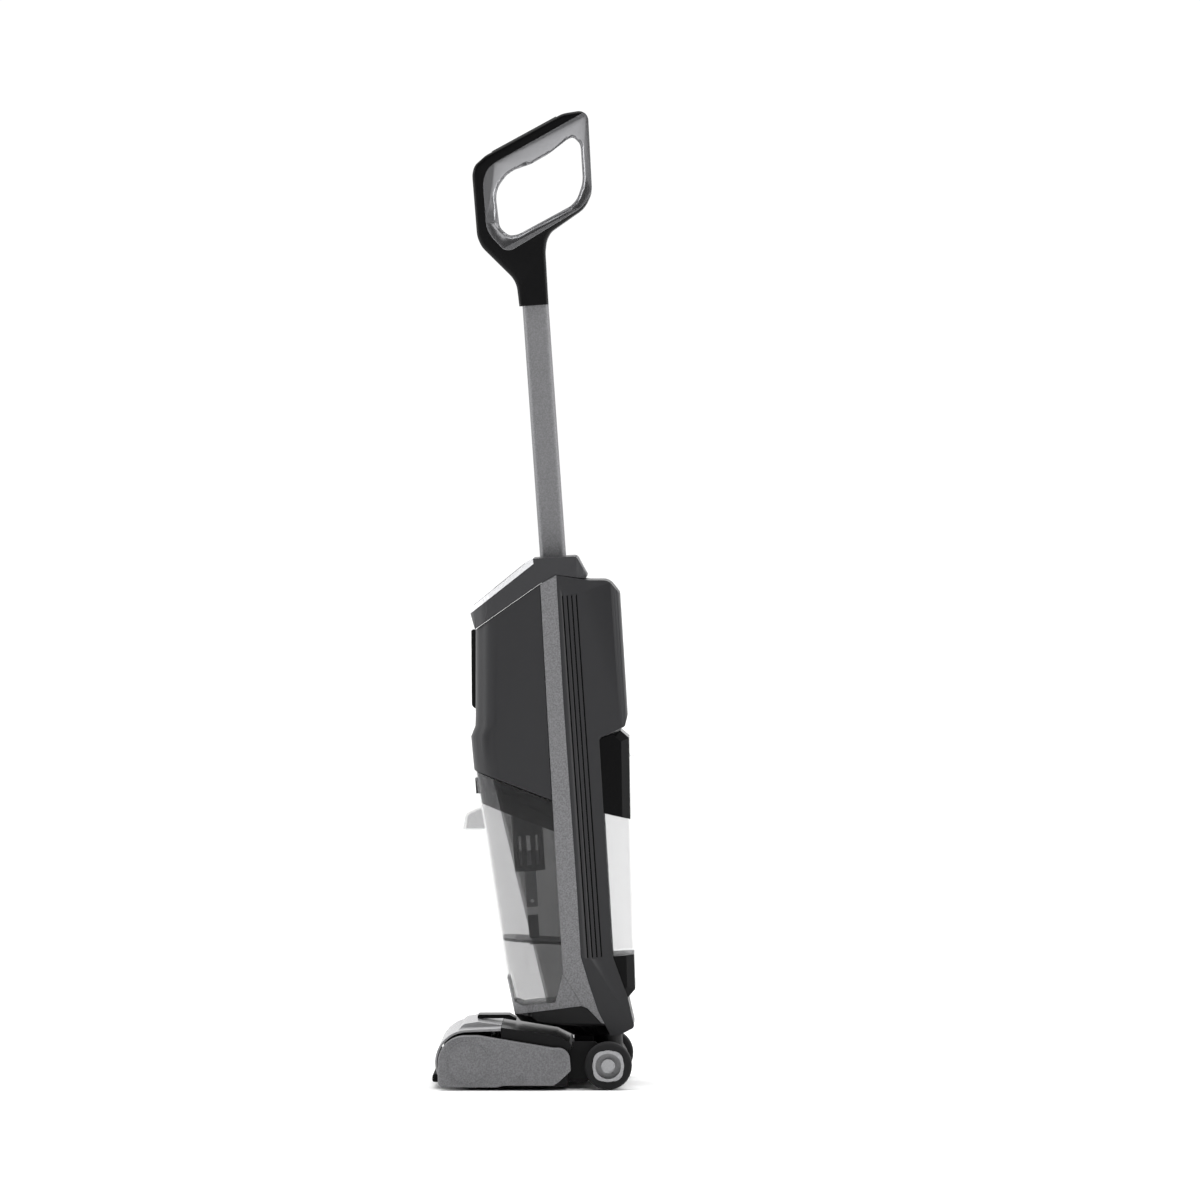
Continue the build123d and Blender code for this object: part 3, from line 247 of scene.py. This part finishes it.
black_abs = moulded_plastic("satin_black_abs", "#060607", 0.3, shine=0.16)
wear(black_abs, clean_copy("handle_shell_left"), clean_copy("handle_shell_right"))
silver_paint = flake_paint("silver_painted_abs", "#8a8a8c", 0.26, 1.0, 0.05)
wear(silver_paint, clean_copy("handle_bezel", 40))
soft_black = moulded_plastic("soft_touch_rubber", "#0b0b0c", 0.75, grain=0.3, shine=0.15)
wear(soft_black, "grip_pad", "power_button", "mode_button", "clean_button")


# ---- handle tube ----
# An extruded aluminium tube with rounded edges, bead-blasted and anodised a plain silver grey.
# It slides in the body to set the height of the handle.
tube_finish = flake_paint("anodised_aluminium", "#808082", 0.5, 0.5, 0.16)
wear(tube_finish, clean_copy("handle_tube"))


# ---- display and collar ----
# A charcoal ABS collar carries a bright painted frame that slopes to the front, with a dark window
# in it. The light grey button behind the collar frees the tube.
collar_grey = moulded_plastic("charcoal_abs", "#38383a", 0.4)
wear(collar_grey, clean_copy("display_housing"))
frame_paint = flake_paint("bright_silver_paint", "#f0f0f2", 0.32, 0.25, 0.03)
wear(frame_paint, clean_copy("display_frame"))
dark_glass = moulded_plastic("smoked_acrylic", "#050506", 0.08, grain=0.0, shine=0.5)
wear(dark_glass, clean_copy("display_lens"))
release_grey = moulded_plastic("light_grey_abs", "#9a9a9c", 0.4)
wear(release_grey, "handle_release_button")


# ---- body shells ----
# Dark grey ABS mouldings: the bow-fronted motor cover and the grooved back, with a darker boot.
# Silver flake strips run down between them and carry on round the foot of the dirty tank.
dark_abs = moulded_plastic("dark_grey_abs", "#2b2b2d", 0.4)
wear(dark_abs, clean_copy("front_cover"), clean_copy("rear_shell"))
boot_grey = moulded_plastic("black_grey_abs", "#161617", 0.36, shine=0.2)
wear(boot_grey, clean_copy("body_base"))
wear(black_abs, clean_copy("front_trim"))
silver_abs = flake_paint("silver_flake_abs", "#7b7b7d", 0.42, 0.35, 0.24)
wear(silver_abs, clean_copy("side_strip_left"), clean_copy("side_strip_right"), clean_copy("tank_cradle"))


# ---- inside the body ----
# Plain mouldings and bought-in units. Most of them only show when the machine is taken apart;
# the chassis and the carrier also show from below.
plain_black = moulded_plastic("plain_black_polypropylene", "#101011", 0.5, shine=0.2)
plain_grey = moulded_plastic("plain_grey_polypropylene", "#6d6d6f", 0.5)
plated = flake_paint("zinc_plated_steel", "#9c9c9e", 0.3, 1.0, 0.06)
wrap = moulded_plastic("blue_cell_wrap", "#1d3558", 0.35)
pleat = moulded_plastic("filter_paper", "#dedbd2", 0.9, grain=0.5)
wear(plain_black, "inner_frame", "riser_duct", "suction_duct", "axle_carrier", "head_chassis")
wear(plain_grey, "water_pump", "fan_impeller", "spray_bar", "brush_pulley", "brush_core", "support_rollers")
wear(plated, "suction_motor", "brush_motor", "motor_pulley", "wheel_axles")
wear(wrap, "battery_pack")
wear(pleat, "air_filter")


# ---- dirty-water tank ----
# Clear styrene-acrylic, 2.5 mm thick, with a black lid, cage and comb inside it.
# Behind a sloping line across its side walls, the walls carry painted shade: a dark, less clear tint that
# stands in for the dark inside of the body seen through the back of the tank.
SHADE_LINE_SLOPE = 0.24
SHADE_LINE_START = 0.0358


def clear_plastic(name, tint, haze, painted_shade, painted_shade_alpha):
    """Clear moulding; behind the sloping line across its sides it carries painted shade, a darker colour and
    a lower clearness.
    """
    material, tree, shader = new_material(name)
    place = add_node(tree, "ShaderNodeTexCoord").outputs["Object"]
    wave = add_node(tree, "ShaderNodeTexNoise", i0=place, Scale=18.0, Detail=1.0)
    bump = add_node(tree, "ShaderNodeBump", Strength=0.05, Distance=0.002, Height=wave.outputs[0])
    split = add_node(tree, "ShaderNodeSeparateXYZ", i0=place)
    reach_back = add_node(tree, "ShaderNodeMath", {"operation": "MULTIPLY_ADD"}, i0=split.outputs[2],
                          i1=SHADE_LINE_SLOPE, i2=split.outputs[1])
    past_line = add_node(tree, "ShaderNodeMapRange", i0=reach_back.outputs[0], i1=SHADE_LINE_START,
                         i2=SHADE_LINE_START + 0.001)
    shade = add_node(tree, "ShaderNodeValToRGB", i0=past_line.outputs[0])
    shade.color_ramp.elements[0].color = linear(tint)
    shade.color_ramp.elements[1].color = linear(painted_shade)
    density = add_node(tree, "ShaderNodeMapRange", i0=past_line.outputs[0], i3=haze, i4=painted_shade_alpha)
    tree.links.new(shade.outputs[0], shader.inputs["Base Color"])
    tree.links.new(density.outputs[0], shader.inputs["Alpha"])
    tree.links.new(bump.outputs[0], shader.inputs["Normal"])
    shader.inputs["Roughness"].default_value = 0.05
    shader.inputs["IOR"].default_value = 1.49
    return material


# Painted shade: the back of the tank's side walls is tinted dark for the dark inside of the body seen
# through them.
shaded_tank_wall = clear_plastic("styrene_acrylic_painted_shade", "#88888a", 0.27, "#141416", 0.52)
wear(shaded_tank_wall, clean_copy("dirty_tank"))
tank_black = moulded_plastic("satin_black_tank_abs", "#060607", 0.3, edge_mm=0.1, shine=0.16)
wear(tank_black, clean_copy("tank_lid"), clean_copy("float_cage"), clean_copy("strainer"),
     clean_copy("tank_release_button"))
wear(release_grey, clean_copy("tank_float"))


# ---- clean-water tank ----
# A clear tank with a black gloss cap and foot, which slides into the back of the body.
# Its walls are one clear styrene-acrylic moulding and carry no painted shade: the colour behind the sloping
# line is the same as before it.
black_gloss = moulded_plastic("gloss_black_abs", "#040405", 0.2, shine=0.1)
wear(black_gloss, clean_copy("clean_tank_top"), clean_copy("clean_tank_base"))
clear_wall = clear_plastic("clear_styrene_acrylic", "#9c9c9e", 0.16, "#9c9c9e", 0.16)
wear(clear_wall, clean_copy("clean_tank"))


# ---- neck, carrier and wheels ----
# A plain black moulded yoke on the axle line joins the head to the body.
# The two wheels have rubber tyres on grey flake hubs.
wear(plain_black, clean_copy("neck_yoke"))
tyre_rubber = moulded_plastic("tyre_rubber", "#1e1e1f", 0.72, grain=0.4, shine=0.2)
wear(tyre_rubber, clean_copy("tyre_left"), clean_copy("tyre_right"))
hub_grey = flake_paint("grey_flake_hub", "#a4a4a6", 0.4, 0.3, 0.08)
wear(hub_grey, clean_copy("hub_left"), clean_copy("hub_right"))


# ---- head covers ----
# Grey flake side covers, a black lid and a light hood over the brush, with a black catch.
# The bumper, squeegee and belt are rubber, the screws are grey, and the brush has a short dark pile.
side_grey = flake_paint("side_cover_flake_abs", "#737375", 0.42, 0.3, 0.22)
wear(side_grey, clean_copy("side_cover_left", 12), clean_copy("side_cover_right", 12), "head_screws")
wear(black_abs, clean_copy("head_top_cover"), clean_copy("hood_latch"))
hood_light = moulded_plastic("light_grey_gloss_abs", "#9c9c9e", 0.25, shine=0.5)
wear(hood_light, clean_copy("brush_hood"))
wear(soft_black, clean_copy("front_bumper"), "squeegee", "drive_belt")
nap = moulded_plastic("nylon_microfibre_pile", "#4a4a4d", 0.95, grain=1.0)
wear(nap, "brush_pile")


# ---- fibres of the brush ----
# Nylon and microfibre pile, cut level, whose tips just touch the floor under the hood.
# Tufts about 4 mm apart stand all round the plain sleeve of pile and end just past its surface.
TUFT_STEP = 0.0042
TUFT_LENGTH = 0.006
TUFT_FOOT_R = 0.0017
TUFT_TIP_R = 0.0004
TUFT_STANDS_OUT = 0.0001
TUFTS_ROUND = 44
BARE_END = 0.003
pile_low, pile_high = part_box("brush_pile")
pile_y = (pile_low[1] + pile_high[1]) / 2
pile_z = (pile_low[2] + pile_high[2]) / 2
pile_r = (pile_high[2] - pile_low[2]) / 2
bpy.ops.object.select_all(action="DESELECT")
tuft_z = pile_z + pile_r + TUFT_STANDS_OUT - TUFT_LENGTH / 2
bpy.ops.mesh.primitive_cone_add(vertices=5, radius1=TUFT_FOOT_R, radius2=TUFT_TIP_R, depth=TUFT_LENGTH,
                                location=(pile_low[0] + BARE_END, pile_y, tuft_z))
tuft = bpy.context.object
tuft.name = "brush_tufts"
bpy.ops.object.transform_apply(location=True, rotation=True, scale=True)
turn = 2 * math.pi / TUFTS_ROUND
stepper = bpy.data.objects.new("tuft_stepper", None)
bpy.context.collection.objects.link(stepper)
stepper.rotation_euler = (turn, 0, 0)
stepper.location = (0, pile_y - (pile_y * math.cos(turn) - pile_z * math.sin(turn)),
                    pile_z - (pile_y * math.sin(turn) + pile_z * math.cos(turn)))
bpy.context.view_layer.update()
ring_array = tuft.modifiers.new("round", "ARRAY")
ring_array.count = TUFTS_ROUND
ring_array.use_relative_offset = False
ring_array.use_object_offset = True
ring_array.offset_object = stepper
row_array = tuft.modifiers.new("along", "ARRAY")
row_array.count = int((pile_high[0] - pile_low[0] - 2 * BARE_END) / TUFT_STEP)
row_array.use_relative_offset = False
row_array.use_constant_offset = True
row_array.constant_offset_displace = (TUFT_STEP, 0, 0)
bpy.ops.object.modifier_apply(modifier="round")
bpy.ops.object.modifier_apply(modifier="along")
bpy.data.objects.remove(stepper)
wear(nap, tuft)
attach(tuft, "brush")


# ---- painted shade in the grooves ----
# Four fine grooves run down each side of the rear shell. Thin matt black strips lie in them as painted
# shade, darkening the grooves where shade falls.
AXLE_Y = 0.0845
AXLE_Z = 0.027
LEAN = math.radians(4)
GROOVES = [-0.0155, -0.0102, -0.0050, 0.0003]
GROOVE_MIDDLE = 0.329
GROOVE_DEPTH = 0.0005
GROOVE_SHADE_SIZE = (0.0008, 0.00145, 0.415)
FINE_EDGE = 0.0001


def on_body(x, back, up):
    """A place on the leaning body, from distances across, back of and up from the axle."""
    return (x, AXLE_Y + back * math.cos(LEAN) - up * math.sin(LEAN),
            AXLE_Z + back * math.sin(LEAN) + up * math.cos(LEAN))


def leaning_bar(name, centre, size, bevel):
    """A bar with rounded edges that lies square to the leaning body."""
    bpy.ops.object.select_all(action="DESELECT")
    bpy.ops.mesh.primitive_cube_add(size=1, location=on_body(*centre), rotation=(LEAN, 0, 0), scale=size)
    bar = bpy.context.object
    bar.name = name
    bpy.ops.object.transform_apply(location=True, rotation=True, scale=True)
    bpy.ops.object.mode_set(mode="EDIT")
    bpy.ops.mesh.select_all(action="SELECT")
    bpy.ops.mesh.bevel(offset=bevel, segments=2, affect="EDGES")
    bpy.ops.object.mode_set(mode="OBJECT")
    bpy.ops.object.shade_smooth_by_angle(angle=math.radians(40))
    return bar


shell_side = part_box("rear_shell")[1][0]
# Painted shade: matt black strips just inside the shell's side darken each groove.
groove_shade_paint = moulded_plastic("painted_groove_shade", "#030303", 0.9, shine=0.05)
for side in (-1, 1):
    for count, place in enumerate(GROOVES):
        strip = leaning_bar(f"groove_{'left' if side < 0 else 'right'}_{count}",
                            (side * (shell_side - GROOVE_DEPTH), place, GROOVE_MIDDLE), GROOVE_SHADE_SIZE, FINE_EDGE)
        wear(groove_shade_paint, strip)
        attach(strip, "body")


# ---- finger tab of the clean-water tank ----
# A clear lip on the back of the tank's black cap, pulled to slide the tank out.
# It is moulded in the plastic of the tank's walls.
TAB_PLACE = (0, 0.0500, 0.3475)
TAB_SIZE = (0.024, 0.0060, 0.0030)
TAB_EDGE = 0.0009
tab = leaning_bar("clean_tank_tab", TAB_PLACE, TAB_SIZE, TAB_EDGE)
wear(clear_wall, tab)
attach(tab, BODY_OF["clean_tank"])


# ---- signs on the keys ----
# Light signs that stand just proud of the keys: a ring with a bar for power, a small ring for mode
# and a ring for self-cleaning.
SIGN_LINE_R = 0.0003
POWER_BAR_PLACE = (0, -0.0843, 1.0135)
POWER_BAR_SIZE = (0.0007, 0.0005, 0.0036)
sign_paint = moulded_plastic("pad_printed_light_ink", "#c8c8ca", 0.5, edge_mm=0.1, grain=0.02)


def key_ring(name, node, radius):
    """A thin light ring on the face of a key."""
    low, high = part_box(node)
    face = (0, low[1] + SIGN_LINE_R, (low[2] + high[2]) / 2)
    bpy.ops.object.select_all(action="DESELECT")
    bpy.ops.mesh.primitive_torus_add(major_radius=radius, minor_radius=SIGN_LINE_R, major_segments=40,
                                     minor_segments=8, location=face, rotation=(math.pi / 2 + LEAN, 0, 0))
    ring = bpy.context.object
    ring.name = name
    bpy.ops.object.transform_apply(location=True, rotation=True, scale=True)
    bpy.ops.object.shade_smooth()
    wear(sign_paint, ring)
    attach(ring, BODY_OF[node])


key_ring("power_sign_ring", "power_button", 0.0034)
key_ring("mode_sign_ring", "mode_button", 0.0012)
key_ring("clean_sign_ring", "clean_button", 0.0030)
power_bar = leaning_bar("power_sign_bar", POWER_BAR_PLACE, POWER_BAR_SIZE, FINE_EDGE)
wear(sign_paint, power_bar)
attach(power_bar, BODY_OF["power_button"])
